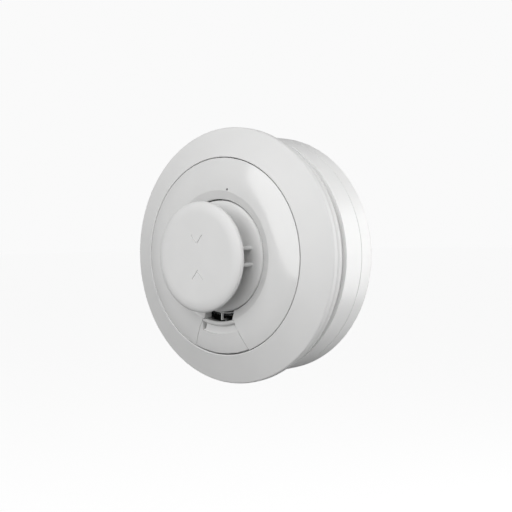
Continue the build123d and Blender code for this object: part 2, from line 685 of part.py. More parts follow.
with BuildPart() as front_cover:
    with BuildSketch(Plane.XY) as cover_outline:
        with BuildLine():
            crest = (CREST_RADIUS, -dome_depth(CREST_RADIUS))
            seam = (HEAD_RADIUS, -dome_depth(HEAD_RADIUS))
            middle_radius = (CREST_RADIUS + HEAD_RADIUS) / 2
            inner_seam = (skirt_inner, -inner_dome_depth(skirt_inner))
            inner_top = (CROWN_CENTRE, -inner_dome_depth(CROWN_CENTRE))
            Line((HEAD_RADIUS, -HOUSING_FRONT), seam)
            ThreePointArc(seam, (middle_radius, -dome_depth(middle_radius)), crest)
            Polyline(
                crest,
                (COVER_HOLE_RADIUS, -HOLE_EDGE_DEPTH),
                (COVER_HOLE_RADIUS, -THROAT_BACK),
                (THROAT_RADIUS, -THROAT_BACK),
                (THROAT_RADIUS, -HOLE_EDGE_DEPTH + THROAT_JOIN),
                inner_top,
            )
            ThreePointArc(inner_top, (middle_radius, -inner_dome_depth(middle_radius)), inner_seam)
            Polyline(inner_seam, (skirt_inner, -HOUSING_FRONT), (HEAD_RADIUS, -HOUSING_FRONT))
        make_face()
        hole_edge = (COVER_HOLE_RADIUS, -HOLE_EDGE_DEPTH)
        for corner, rounding in ((crest, CREST_ROUND), (hole_edge, HOLE_EDGE_ROUND), (seam, EDGE_ROUND)):
            fillet(cover_outline.vertices().sort_by_distance(corner)[0], rounding)
    revolve(axis=Axis.Y)
    # Screw posts and the light pipe's socket
    extrude(discs(BOARD_FRONT, POST_RADIUS, head_screw_places), amount=POST_FRONT - BOARD_FRONT)
    extrude(
        discs(BOARD_FRONT, HEAD_SCREW_RADIUS, head_screw_places),
        amount=POST_FRONT - BOARD_FRONT - POST_CAP,
        mode=Mode.SUBTRACT,
    )
    pipe_run = PIPE_SHOULDER - PIPE_BACK
    extrude(discs(PIPE_BACK, PIPE_RADIUS + PIPE_SOCKET_WALL, [LIGHT_PLACE]), amount=pipe_run)
    extrude(discs(PIPE_BACK, PIPE_RADIUS, [LIGHT_PLACE]), amount=pipe_run, mode=Mode.SUBTRACT)
    extrude(discs(PIPE_BACK, PINHOLE_RADIUS, [LIGHT_PLACE]), amount=FAR_FRONT, mode=Mode.SUBTRACT)
    # The outlet's side walls, then the opening for the sound and the flap
    wall_outer = MOUTH_HALF_WIDTH + CHUTE_WALL
    for side in (-1, 1):
        low_x, high_x = sorted((side * MOUTH_HALF_WIDTH, side * wall_outer))
        side_wall = box_between(THROAT_BACK, (low_x, WEDGE_TOP), (high_x, CHUTE_TOP))
        extrude(side_wall, amount=CHUTE_FRONT - THROAT_BACK)
        side_foot = box_between(THROAT_BACK, (low_x, -SILL_RADIUS - SILL_LAP), (high_x, WEDGE_TOP))
        extrude(side_foot, amount=WINDOW_BACK - THROAT_BACK)
    extrude(wedge(WINDOW_BACK), amount=FAR_FRONT, mode=Mode.SUBTRACT)
    extrude(
        box_between(WINDOW_BACK, (-MOUTH_HALF_WIDTH, WEDGE_TOP), (MOUTH_HALF_WIDTH, CHUTE_TOP)),
        amount=FAR_FRONT,
        mode=Mode.SUBTRACT,
    )
    extrude(discs(THROAT_BACK, COVER_HOLE_RADIUS, [(0, 0)]), amount=FAR_FRONT, mode=Mode.SUBTRACT)
    # Sill across the outlet, and the thin rib that stands on it
    sill = ring_sector(
        THROAT_BACK,
        SILL_RADIUS,
        SILL_RADIUS + SILL_WIDTH,
        SIX_O_CLOCK - SILL_HALF_ANGLE,
        SIX_O_CLOCK + SILL_HALF_ANGLE,
    )
    extrude(sill, amount=WINDOW_BACK - THROAT_BACK)
    rib_root = box_between(THROAT_BACK, (-RIB_HALF, -SILL_RADIUS - SILL_LAP), (RIB_HALF, RIB_BOTTOM))
    extrude(rib_root, amount=WINDOW_BACK - THROAT_BACK)
    rib_foot = box_between(THROAT_BACK, (-RIB_HALF, RIB_BOTTOM), (RIB_HALF, RIB_FOOT_TOP))
    extrude(rib_foot, amount=RIB_FRONT - THROAT_BACK)
    rib_bar = box_between(RIB_FRONT - RIB_THICKNESS, (-RIB_HALF, RIB_BOTTOM), (RIB_HALF, RIB_TOP))
    extrude(rib_bar, amount=RIB_THICKNESS)
    # Lugs for the flap's pin, standing on what is left of the skirt
    lug_starts = (-COVER_LUG_X - COVER_LUG_WIDTH, COVER_LUG_X)
    knuckles(lug_starts, COVER_LUG_WIDTH, KNUCKLE_RADIUS, COVER_LUG_REACH)
    knuckles(lug_starts, COVER_LUG_WIDTH, HINGE_PIN_RADIUS, 0, Mode.SUBTRACT)
save(front_cover, "front_cover")

# --- Access flap: bar, nail scoop and panel, hinged near the seam ---------------------------------

FLAP_THICKNESS = 1.8
FLAP_BACK = 49.9
FLAP_EDGE_ROUND = 0.5
BAR_INNER_RADIUS = 37.7
BAR_WIDTH = 2.4
BAR_ROUND_DEPTH = 53.05
GROOVE_OUTER_RADIUS = 40.8
GROOVE_FLOOR = 50.9
SCOOP_FLOOR = 51.6
SCOOP_OUTER_RADIUS = 44.9
SCOOP_LIP = 53.3
PANEL_RADIUS = 45.2
FLAP_OUTER_RADIUS = 56.6
SCOOP_LEFT = -12.0
SLOT_WIDTH = 1.1
SLOT_TOP = -39.6
SLOT_BOTTOM = -42.6
FLAP_KNUCKLE_X = 4.5
FLAP_KNUCKLE_WIDTH = 2.7
FLAP_KNUCKLE_REACH = 1.7
POCKET_ROOM = 0.5
POCKET_MARGIN = 3.0
PANEL_BULGE_SHIFT = 3.0
SCOOP_WEB = 1.0
RUNNING_FIT = 0.05
PIN_GROOVE_ROOM = 0.45
bar_outer_radius = BAR_INNER_RADIUS + BAR_WIDTH

with BuildPart() as scoop:
    revolve(
        outline(
            [
                (bar_outer_radius, FAR_FRONT),
                (bar_outer_radius, GROOVE_FLOOR),
                (GROOVE_OUTER_RADIUS, GROOVE_FLOOR),
                (GROOVE_OUTER_RADIUS, SCOOP_FLOOR),
                (SCOOP_OUTER_RADIUS, SCOOP_LIP),
                (PANEL_RADIUS, FAR_FRONT),
            ]
        ),
        axis=Axis.Y,
    )
    extrude(
        box_between(0, (SCOOP_LEFT, -HEAD_RADIUS), (HEAD_RADIUS, 0)), amount=FAR_FRONT, mode=Mode.INTERSECT
    )

with BuildPart() as access_flap:
    with BuildSketch(Plane.XY) as flap_outline:
        with BuildLine():
            bar_top = (BAR_INNER_RADIUS + BAR_WIDTH / 2, -BAR_ROUND_DEPTH - BAR_WIDTH / 2)
            panel_middle = (BAR_INNER_RADIUS + FLAP_OUTER_RADIUS) / 2 + PANEL_BULGE_SHIFT
            panel_back = PANEL_RADIUS + SCOOP_WEB
            ThreePointArc(
                (BAR_INNER_RADIUS, -BAR_ROUND_DEPTH), bar_top, (bar_outer_radius, -BAR_ROUND_DEPTH)
            )
            Line((bar_outer_radius, -BAR_ROUND_DEPTH), (bar_outer_radius, -dome_depth(bar_outer_radius)))
            ThreePointArc(
                (bar_outer_radius, -dome_depth(bar_outer_radius)),
                (panel_middle, -dome_depth(panel_middle)),
                (FLAP_OUTER_RADIUS, -dome_depth(FLAP_OUTER_RADIUS)),
            )
            Line(
                (FLAP_OUTER_RADIUS, -dome_depth(FLAP_OUTER_RADIUS)),
                (FLAP_OUTER_RADIUS, -inner_dome_depth(FLAP_OUTER_RADIUS, FLAP_THICKNESS)),
            )
            ThreePointArc(
                (FLAP_OUTER_RADIUS, -inner_dome_depth(FLAP_OUTER_RADIUS, FLAP_THICKNESS)),
                (panel_middle, -inner_dome_depth(panel_middle, FLAP_THICKNESS)),
                (panel_back, -inner_dome_depth(panel_back, FLAP_THICKNESS)),
            )
            Polyline(
                (panel_back, -inner_dome_depth(panel_back, FLAP_THICKNESS)),
                (SCOOP_OUTER_RADIUS, -FLAP_BACK - FLAP_THICKNESS),
                (GROOVE_OUTER_RADIUS + SCOOP_WEB, -FLAP_BACK),
                (BAR_INNER_RADIUS, -FLAP_BACK),
                (BAR_INNER_RADIUS, -BAR_ROUND_DEPTH),
            )
        make_face()
        outer_edge = (FLAP_OUTER_RADIUS, -dome_depth(FLAP_OUTER_RADIUS))
        fillet(flap_outline.vertices().sort_by_distance(outer_edge)[0], FLAP_EDGE_ROUND)
    revolve(axis=Axis.Y)
    extrude(wedge(0, FLAP_GAP), amount=FAR_FRONT, mode=Mode.INTERSECT)
    add(scoop.part, mode=Mode.SUBTRACT)
    extrude(
        box_between(0, (SCOOP_LEFT, SLOT_BOTTOM), (SCOOP_LEFT + SLOT_WIDTH, SLOT_TOP)),
        amount=FAR_FRONT,
        mode=Mode.SUBTRACT,
    )
    # Pockets under the panel that clear the cover's lugs
    pocket_front = HINGE_DEPTH + KNUCKLE_RADIUS + POCKET_ROOM
    pocket_back = FLAP_BACK - POCKET_MARGIN
    for start in lug_starts:
        pocket = box_between(
            pocket_back,
            (start - MOVING_GAP, HINGE_Z - POCKET_MARGIN),
            (start + COVER_LUG_WIDTH + MOVING_GAP, HINGE_Z + KNUCKLE_RADIUS + POCKET_ROOM),
        )
        extrude(pocket, amount=pocket_front - pocket_back, mode=Mode.SUBTRACT)
    flap_knuckle_starts = (-FLAP_KNUCKLE_X - FLAP_KNUCKLE_WIDTH, FLAP_KNUCKLE_X)
    knuckles(flap_knuckle_starts, FLAP_KNUCKLE_WIDTH, KNUCKLE_RADIUS, -FLAP_KNUCKLE_REACH)
    knuckles(flap_knuckle_starts, FLAP_KNUCKLE_WIDTH, HINGE_PIN_RADIUS + RUNNING_FIT, 0, Mode.SUBTRACT)
    # Between its knuckles the panel is grooved, clear of the pin
    knuckles([-FLAP_KNUCKLE_X], 2 * FLAP_KNUCKLE_X, HINGE_PIN_RADIUS + PIN_GROOVE_ROOM, 0, Mode.SUBTRACT)
save(access_flap, "access_flap")

with BuildPart() as flap_hinge_pin:
    with BuildSketch(hinge_plane(-COVER_LUG_X - COVER_LUG_WIDTH)):
        Circle(HINGE_PIN_RADIUS)
    extrude(amount=2 * (COVER_LUG_X + COVER_LUG_WIDTH))
save(flap_hinge_pin, "flap_hinge_pin")

# --- Light pipe -----------------------------------------------------------------------------------

PIPE_FRONT = 54.2

with BuildPart() as light_pipe:
    extrude(discs(PIPE_BACK, PIPE_RADIUS, [LIGHT_PLACE]), amount=pipe_run)
    extrude(discs(PIPE_SHOULDER, PINHOLE_RADIUS, [LIGHT_PLACE]), amount=PIPE_FRONT - PIPE_SHOULDER)
save(light_pipe, "light_pipe")

# --- Circuit board and what is soldered to it -----------------------------------------------------

BOARD_RADIUS = 52.0
CELL_NOTCH_EDGE = -37.5
CELL_NOTCH_HALF = 25.0

with BuildPart() as circuit_board:
    with BuildSketch(front_plane(BOARD_BACK)):
        Circle(BOARD_RADIUS)
        with Locations((CELL_NOTCH_EDGE - BOARD_RADIUS / 2, 0)):
            Rectangle(BOARD_RADIUS, 2 * CELL_NOTCH_HALF, mode=Mode.SUBTRACT)
    extrude(amount=BOARD_THICKNESS)
    extrude(
        discs(BOARD_BACK, CLEARANCE_HOLE_RADIUS, head_screw_places),
        amount=BOARD_THICKNESS,
        mode=Mode.SUBTRACT,
    )
save(circuit_board, "circuit_board")

CELL_NUB_RADIUS = 1.9
CELL_NUB = 0.8
CELL_ROUND = 0.6

with BuildPart() as battery_cell:
    with BuildSketch(cell_plane):
        Circle(CELL_RADIUS)
    extrude(amount=2 * CELL_HALF_LENGTH - CELL_NUB)
    fillet(battery_cell.edges().filter_by(GeomType.CIRCLE), CELL_ROUND)
    with BuildSketch(cell_plane.offset(2 * CELL_HALF_LENGTH - CELL_NUB)):
        Circle(CELL_NUB_RADIUS)
    extrude(amount=CELL_NUB)
save(battery_cell, "battery_cell")

CONTACT_HALF_WIDTH = 4.0
CONTACT_THICKNESS = 0.4
CONTACT_TAB_END = -35.0
CONTACT_DEEP = 41.0
CONTACT_SHALLOW = 47.0
CONTACT_TAB_LAP = 1.0

with BuildPart() as battery_contacts:
    for side in (-1, 1):
        low_z, high_z = sorted((side * CELL_HALF_LENGTH, side * (CELL_HALF_LENGTH + CONTACT_THICKNESS)))
        extrude(
            box_between(CONTACT_DEEP, (CELL_X - CONTACT_HALF_WIDTH, low_z), (CONTACT_TAB_END, high_z)),
            amount=CONTACT_SHALLOW - CONTACT_DEEP,
        )
        extrude(
            box_between(
                BOARD_FRONT,
                (CELL_NOTCH_EDGE, low_z - CONTACT_TAB_LAP),
                (CONTACT_TAB_END, high_z + CONTACT_TAB_LAP),
            ),
            amount=CONTACT_THICKNESS,
        )
save(battery_contacts, "battery_contacts")

MODULE_LEFT = 37.0
MODULE_RIGHT = 50.5
MODULE_HALF_HEIGHT = 11.0
MODULE_THICKNESS = 8.5
MODULE_SIDE_ROUND = 0.8
MODULE_TOP_ROUND = 0.5

with BuildPart() as power_module:
    extrude(
        box_between(BOARD_FRONT, (MODULE_LEFT, -MODULE_HALF_HEIGHT), (MODULE_RIGHT, MODULE_HALF_HEIGHT)),
        amount=MODULE_THICKNESS,
    )
    fillet(power_module.edges().filter_by(Axis.Y), MODULE_SIDE_ROUND)
    fillet(power_module.faces().sort_by(Axis.Y)[0].edges(), MODULE_TOP_ROUND)
save(power_module, "power_module")

CAPACITOR_PLACE = (40, 22)
CAPACITOR_RADIUS = 4.0
CAPACITOR_HEIGHT = 9.5
CAPACITOR_ROUND = 0.5
VENT_LENGTH = 6.0
VENT_WIDTH = 0.4
VENT_DEPTH = 0.3

with BuildPart() as main_capacitor:
    extrude(discs(BOARD_FRONT, CAPACITOR_RADIUS, [CAPACITOR_PLACE]), amount=CAPACITOR_HEIGHT)
    fillet(main_capacitor.edges().filter_by(GeomType.CIRCLE), CAPACITOR_ROUND)
    with BuildSketch(front_plane(BOARD_FRONT + CAPACITOR_HEIGHT)):
        with Locations(CAPACITOR_PLACE):
            Rectangle(VENT_LENGTH, VENT_WIDTH)
            Rectangle(VENT_WIDTH, VENT_LENGTH)
    extrude(amount=-VENT_DEPTH, mode=Mode.SUBTRACT)
save(main_capacitor, "main_capacitor")

CHIP_CENTRE = (-17, 13)
CHIP_SIZE = 8.0
CHIP_STANDOFF = 0.2
CHIP_HEIGHT = 1.1
CHIP_SIDES = 2
CHIP_LEGS = 8
CHIP_PITCH = 0.9
CHIP_LEG_SPREAD = 0.6
CHIP_LEG_LENGTH = 0.9
CHIP_LEG_WIDTH = 0.35
CHIP_LEG_HEIGHT = 0.6

with BuildPart() as microcontroller:
    with BuildSketch(front_plane(BOARD_FRONT + CHIP_STANDOFF)):
        with Locations(CHIP_CENTRE):
            Rectangle(CHIP_SIZE, CHIP_SIZE)
    extrude(amount=CHIP_HEIGHT)
    with BuildSketch(front_plane(BOARD_FRONT)):
        with Locations(CHIP_CENTRE):
            with GridLocations(CHIP_SIZE + CHIP_LEG_SPREAD, CHIP_PITCH, CHIP_SIDES, CHIP_LEGS):
                Rectangle(CHIP_LEG_LENGTH, CHIP_LEG_WIDTH)
    extrude(amount=CHIP_LEG_HEIGHT)
save(microcontroller, "microcontroller")

# --- Sounder: a black drum behind the outlet, its disc, and the mesh in front of it ---------------

SOUNDER_PLACE = (0, -31)
SOUNDER_RADIUS = 15.0
SOUNDER_FRONT = 45.0
SOUNDER_WALL = 1.0
PIEZO_THICKNESS = 0.4
PORT_RADIUS = 1.2
MESH_THICKNESS = 1.2
MESH_FIT = 0.1
MESH_LAP = 1.5
SOUNDER_ROUND = 0.5
PORT_COUNT = 6
PORT_PITCH = 5.0

with BuildPart() as sounder_body:
    extrude(discs(BOARD_FRONT, SOUNDER_RADIUS, [SOUNDER_PLACE]), amount=SOUNDER_FRONT - BOARD_FRONT)
    fillet(sounder_body.faces().sort_by(Axis.Y)[0].edges(), SOUNDER_ROUND)
    extrude(
        discs(BOARD_FRONT + SOUNDER_WALL, SOUNDER_RADIUS - SOUNDER_WALL, [SOUNDER_PLACE]),
        amount=SOUNDER_FRONT - BOARD_FRONT - 2 * SOUNDER_WALL,
        mode=Mode.SUBTRACT,
    )
    with BuildSketch(front_plane(SOUNDER_FRONT)):
        with Locations(SOUNDER_PLACE):
            with PolarLocations(PORT_PITCH, PORT_COUNT):
                Circle(PORT_RADIUS)
    extrude(amount=-SOUNDER_WALL, mode=Mode.SUBTRACT)
save(sounder_body, "sounder_body")

with BuildPart() as piezo_disc:
    extrude(
        discs(BOARD_FRONT + SOUNDER_WALL, SOUNDER_RADIUS - SOUNDER_WALL - MESH_FIT, [SOUNDER_PLACE]),
        amount=PIEZO_THICKNESS,
    )
save(piezo_disc, "piezo_disc")

with BuildPart() as sounder_mesh:
    mesh_side = MOUTH_HALF_WIDTH - MESH_FIT
    mesh_plate = box_between(WINDOW_BACK, (-mesh_side, -SILL_RADIUS - MESH_LAP), (mesh_side, CHUTE_TOP))
    extrude(mesh_plate, amount=MESH_THICKNESS)
    throat_hole = discs(WINDOW_BACK, COVER_HOLE_RADIUS + MESH_FIT, [(0, 0)])
    extrude(throat_hole, amount=MESH_THICKNESS, mode=Mode.SUBTRACT)
    rib_side = RIB_HALF + MESH_FIT
    rib_hole = box_between(
        WINDOW_BACK, (-rib_side, RIB_BOTTOM - MESH_FIT), (rib_side, RIB_FOOT_TOP + MESH_FIT)
    )
    extrude(rib_hole, amount=MESH_THICKNESS, mode=Mode.SUBTRACT)
save(sounder_mesh, "sounder_mesh")

# --- Push switch under the button -----------------------------------------------------------------

SWITCH_PLACE = (0, 20)
SWITCH_SIZE = 6.2
SWITCH_FRONT = 44.5
PLUNGER_RADIUS = 1.7
PLUNGER_BACK = 43.1
PLUNGER_FRONT = SWITCH_FRONT + BUTTON_TRAVEL + MOVING_GAP
PLUNGER_BORE = PLUNGER_BACK - BUTTON_TRAVEL - MOVING_GAP
SWITCH_CHAMFER = 0.5
PLUNGER_ROUND = 0.3

with BuildPart() as switch_body:
    with BuildSketch(front_plane(BOARD_FRONT)):
        with Locations(SWITCH_PLACE):
            Rectangle(SWITCH_SIZE, SWITCH_SIZE)
    extrude(amount=SWITCH_FRONT - BOARD_FRONT)
    chamfer(switch_body.edges().filter_by(Axis.Y), SWITCH_CHAMFER)
    extrude(
        discs(PLUNGER_BORE, PLUNGER_RADIUS + RUNNING_FIT, [SWITCH_PLACE]),
        amount=SWITCH_FRONT - PLUNGER_BORE,
        mode=Mode.SUBTRACT,
    )
save(switch_body, "switch_body")

with BuildPart() as switch_plunger:
    extrude(discs(PLUNGER_BACK, PLUNGER_RADIUS, [SWITCH_PLACE]), amount=PLUNGER_FRONT - PLUNGER_BACK)
    fillet(switch_plunger.faces().sort_by(Axis.Y)[0].edges(), PLUNGER_ROUND)
save(switch_plunger, "switch_plunger")

# --- Heat sensor: a post on the board that holds the thermistor in the gap behind the cap ---------

POST_TUBE_RADIUS = 4.5
POST_TUBE_FRONT = 57.0
LEAD_RADIUS = 0.3
LEAD_HALF_GAP = 0.8
BEAD_DEPTH = 61.0
THERMISTOR_RADIUS = 1.4
POST_TUBE_CHAMFER = 1.5

lead_places = [(-LEAD_HALF_GAP, 0), (LEAD_HALF_GAP, 0)]

with BuildPart() as sensor_post:
    extrude(discs(BOARD_FRONT, POST_TUBE_RADIUS, [(0, 0)]), amount=POST_TUBE_FRONT - BOARD_FRONT)
    chamfer(sensor_post.faces().sort_by(Axis.Y)[0].edges(), POST_TUBE_CHAMFER)
    extrude(discs(BOARD_FRONT, LEAD_RADIUS, lead_places), amount=FAR_FRONT, mode=Mode.SUBTRACT)
save(sensor_post, "sensor_post")

with BuildPart() as thermistor:
    extrude(discs(BOARD_FRONT, LEAD_RADIUS, lead_places), amount=BEAD_DEPTH - BOARD_FRONT)
    with Locations((0, -BEAD_DEPTH, 0)):
        Sphere(THERMISTOR_RADIUS)
save(thermistor, "thermistor")

# --- Status light and service header --------------------------------------------------------------

LED_RADIUS = 1.5
LED_FRONT = 45.4
LED_DOME_ROUND = 1.35
LED_COLLAR = 0.25
LED_COLLAR_HEIGHT = 0.8

with BuildPart() as status_led:
    extrude(discs(BOARD_FRONT, LED_RADIUS, [LIGHT_PLACE]), amount=LED_FRONT - BOARD_FRONT)
    fillet(status_led.faces().sort_by(Axis.Y)[0].edges(), LED_DOME_ROUND)
    extrude(discs(BOARD_FRONT, LED_RADIUS + LED_COLLAR, [LIGHT_PLACE]), amount=LED_COLLAR_HEIGHT)
save(status_led, "status_led")

HEADER_PLACE = (0, -48.9)
HEADER_PITCH = 2.54
HEADER_COLUMNS = 4
HEADER_ROWS = 2
HEADER_HEIGHT = 2.5
HEADER_PIN = 0.64
HEADER_PIN_HEIGHT = 6.0


def header_pin_squares(depth):
    """The header's pins in section."""
    with BuildSketch(front_plane(depth)) as drawn:
        with Locations(HEADER_PLACE):
            with GridLocations(HEADER_PITCH, HEADER_PITCH, HEADER_COLUMNS, HEADER_ROWS):
                Rectangle(HEADER_PIN, HEADER_PIN)
    return drawn.sketch


with BuildPart() as service_header:
    with BuildSketch(front_plane(BOARD_FRONT)):
        with Locations(HEADER_PLACE):
            Rectangle(HEADER_COLUMNS * HEADER_PITCH, HEADER_ROWS * HEADER_PITCH)
    extrude(amount=HEADER_HEIGHT)
    extrude(header_pin_squares(BOARD_FRONT), amount=HEADER_HEIGHT, mode=Mode.SUBTRACT)
save(service_header, "service_header")

with BuildPart() as header_pins:
    extrude(header_pin_squares(BOARD_FRONT), amount=HEADER_PIN_HEIGHT)
save(header_pins, "header_pins")

# --- Test button: collar, cap with its fins, and the return spring --------------------------------

COLLAR_THICKNESS = 2.0
COLLAR_ROUND_WIDTH = 5.6
COLLAR_ROUND_DEPTH = 1.8
COLLAR_BACK = 46.5
COLLAR_BORE = 6.5
LEG_ANGLES = (90, 210, 330)
LEG_HALF_ANGLE = 6.0
LEG_BACK = 43.6
BARB_RADIUS = 33.9
BARB_HEIGHT = 1.3
BARB_ROOT = 0.5
STEM_RADIUS = 2.5
HUB_INNER = 9.4
HUB_OUTER = 11.0
HUB_BACK = 48.5
PEG_RADIUS = 0.7
FIN_INNER = 10.5
FIN_OUTER = 25.5
FIN_OFFSET = 4.65
FIN_THICKNESS = 2.3
FIN_PAIRS = 4
collar_under = COLLAR_TOP_DEPTH - COLLAR_THICKNESS
collar_inner = COLLAR_RADIUS - COLLAR_THICKNESS
collar_inner_depth = collar_under - COLLAR_ROUND_DEPTH / 2


def fin_places():
    """Context for the fins: pairs spread round the axis, each pair pointing away from it."""
    return PolarLocations((FIN_INNER + FIN_OUTER) / 2, FIN_PAIRS)


def peg_circles(depth, radius):
    """One peg under the middle of each fin."""
    with BuildSketch(front_plane(depth)) as drawn:
        with fin_places():
            with Locations((0, -FIN_OFFSET), (0, FIN_OFFSET)):
                Circle(radius)
    return drawn.sketch


with BuildPart() as button_collar:
    with BuildSketch(Plane.XY):
        with BuildLine():
            edge_start = COLLAR_RADIUS - COLLAR_ROUND_WIDTH
            side_top = COLLAR_TOP_DEPTH - COLLAR_ROUND_DEPTH
            EllipticalCenterArc(
                (edge_start, -side_top), COLLAR_ROUND_WIDTH, COLLAR_ROUND_DEPTH, start_angle=-90, arc_size=90
            )
            Polyline(
                (COLLAR_RADIUS, -side_top),
                (COLLAR_RADIUS, -COLLAR_BACK),
                (collar_inner, -COLLAR_BACK),
                (collar_inner, -collar_inner_depth),
                (edge_start, -collar_under),
                (COLLAR_BORE, -collar_under),
                (COLLAR_BORE, -COLLAR_TOP_DEPTH),
                (edge_start, -COLLAR_TOP_DEPTH),
            )
        make_face()
    revolve(axis=Axis.Y)
    revolve(
        outline(
            [(HUB_INNER, HUB_BACK), (HUB_OUTER, HUB_BACK), (HUB_OUTER, collar_under), (HUB_INNER, collar_under)]
        ),
        axis=Axis.Y,
    )
    for angle in LEG_ANGLES:
        start = angle - LEG_HALF_ANGLE
        end = angle + LEG_HALF_ANGLE
        leg = ring_sector(LEG_BACK, collar_inner, COLLAR_RADIUS, start, end)
        extrude(leg, amount=COLLAR_BACK - LEG_BACK)
        barb = ring_sector(LEG_BACK, COLLAR_RADIUS - BARB_ROOT, BARB_RADIUS, start, end)
        extrude(barb, amount=BARB_HEIGHT)
    extrude(discs(PLUNGER_FRONT, STEM_RADIUS, [SWITCH_PLACE]), amount=collar_under - PLUNGER_FRONT)
    extrude(peg_circles(collar_under, PEG_RADIUS), amount=COLLAR_THICKNESS, mode=Mode.SUBTRACT)
save(button_collar, "button_collar")

CAP_ROUND_WIDTH = 7.0
CAP_ROUND_DEPTH = 2.8
CAP_LIP_WIDTH = 1.4
CAP_RIM_INNER = 28.7
CAP_SHELL = 2.0
CAP_RIM_SLOPE = 0.7
CHEVRON_HALF_WIDTH = 4.1
CHEVRON_LINE = 0.8
CHEVRON_DEPTH = 0.45
CHEVRON_TIPS = (7.6, -7.8)
CHEVRON_RISE = 4.8
cap_widest_depth = CAP_FACE_DEPTH - CAP_ROUND_DEPTH
cap_inner_depth = CAP_FACE_DEPTH - CAP_SHELL

with BuildPart() as button_cap:
    with BuildSketch(Plane.XY):
        with BuildLine():
            face_edge = CAP_RADIUS - CAP_ROUND_WIDTH
            lip_radius = CAP_RADIUS - CAP_LIP_WIDTH
            lip_depth = cap_widest_depth - CAP_BACK_DEPTH
            Line((0, -CAP_FACE_DEPTH), (face_edge, -CAP_FACE_DEPTH))
            EllipticalCenterArc(
                (face_edge, -cap_widest_depth), CAP_ROUND_WIDTH, CAP_ROUND_DEPTH, start_angle=-90, arc_size=90
            )
            EllipticalCenterArc((lip_radius, -cap_widest_depth), CAP_LIP_WIDTH, lip_depth, arc_size=90)
            Polyline(
                (lip_radius, -CAP_BACK_DEPTH),
                (CAP_RIM_INNER, -CAP_BACK_DEPTH),
                (CAP_RIM_INNER - CAP_RIM_SLOPE, -cap_widest_depth),
                (face_edge, -cap_inner_depth),
                (0, -cap_inner_depth),
                (0, -CAP_FACE_DEPTH),
            )
        make_face()
    revolve(axis=Axis.Y)
    with BuildSketch(front_plane(COLLAR_TOP_DEPTH)):
        with fin_places():
            with Locations((0, -FIN_OFFSET), (0, FIN_OFFSET)):
                SlotOverall(FIN_OUTER - FIN_INNER, FIN_THICKNESS)
    extrude(amount=cap_inner_depth - COLLAR_TOP_DEPTH)
    extrude(peg_circles(collar_under, PEG_RADIUS), amount=COLLAR_THICKNESS)
    for tip, way in zip(CHEVRON_TIPS, (1, -1)):
        with BuildSketch(front_plane(CAP_FACE_DEPTH)):
            with BuildLine():
                Polyline(
                    (-CHEVRON_HALF_WIDTH, tip + way * CHEVRON_RISE),
                    (0, tip),
                    (CHEVRON_HALF_WIDTH, tip + way * CHEVRON_RISE),
                )
            trace(line_width=CHEVRON_LINE)
        extrude(amount=-CHEVRON_DEPTH, mode=Mode.SUBTRACT)
save(button_cap, "button_cap")

SPRING_RADIUS = 8.2
SPRING_WIRE_RADIUS = 0.45
SPRING_TURNS = 3.75
spring_height = collar_under - BOARD_FRONT - 2 * SPRING_WIRE_RADIUS

with BuildPart() as return_spring:
    with BuildLine() as coil:
        Helix(
            pitch=spring_height / SPRING_TURNS,
            height=spring_height,
            radius=SPRING_RADIUS,
            center=(0, -BOARD_FRONT - SPRING_WIRE_RADIUS, 0),
            direction=(0, -1, 0),
        )
    with BuildSketch(Plane(origin=coil.line @ 0, z_dir=coil.line % 0)):
        Circle(SPRING_WIRE_RADIUS)
    sweep(is_frenet=True)
save(return_spring, "return_spring")
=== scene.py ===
"""Surface-mounted heat detector: its finishes, woven sounder mesh, return spring, studio and camera.

Metres, in the CAD's own frame: the wall is the plane y = 0, the detector faces -Y and +Z is up.
"""

import json
import math

import bmesh
import bpy
from mathutils import Matrix, Quaternion, Vector


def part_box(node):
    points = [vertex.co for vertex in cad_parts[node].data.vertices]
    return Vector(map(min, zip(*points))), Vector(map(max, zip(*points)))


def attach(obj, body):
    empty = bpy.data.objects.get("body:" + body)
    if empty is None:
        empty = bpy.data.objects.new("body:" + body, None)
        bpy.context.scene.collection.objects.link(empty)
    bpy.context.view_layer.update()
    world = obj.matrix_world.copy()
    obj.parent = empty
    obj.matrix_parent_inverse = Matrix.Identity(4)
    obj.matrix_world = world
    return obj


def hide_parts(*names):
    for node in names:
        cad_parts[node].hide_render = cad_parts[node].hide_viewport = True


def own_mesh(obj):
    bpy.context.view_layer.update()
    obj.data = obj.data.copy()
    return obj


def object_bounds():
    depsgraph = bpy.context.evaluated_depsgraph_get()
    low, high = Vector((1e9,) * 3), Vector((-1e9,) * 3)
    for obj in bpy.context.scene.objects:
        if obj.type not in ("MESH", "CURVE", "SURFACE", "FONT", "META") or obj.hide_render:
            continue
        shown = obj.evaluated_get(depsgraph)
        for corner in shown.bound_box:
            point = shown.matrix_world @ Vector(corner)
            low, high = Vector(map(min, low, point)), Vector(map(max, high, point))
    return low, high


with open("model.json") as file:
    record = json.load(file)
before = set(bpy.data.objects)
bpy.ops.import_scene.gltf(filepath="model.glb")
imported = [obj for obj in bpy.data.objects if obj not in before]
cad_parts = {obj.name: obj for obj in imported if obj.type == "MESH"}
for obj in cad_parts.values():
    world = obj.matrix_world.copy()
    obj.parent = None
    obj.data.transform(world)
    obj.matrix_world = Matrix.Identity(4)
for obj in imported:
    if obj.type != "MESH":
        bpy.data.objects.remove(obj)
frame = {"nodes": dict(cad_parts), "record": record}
cad_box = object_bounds()
MM = 0.001

# --- Finishes -----------------------------------------------------------------------------------------
# Each function makes one kind of finish. A grain is given by its size and its height, in millimetres.

NOISE_MIDDLE = (0.3, 0.7)  # most of a noise texture's values lie between these two


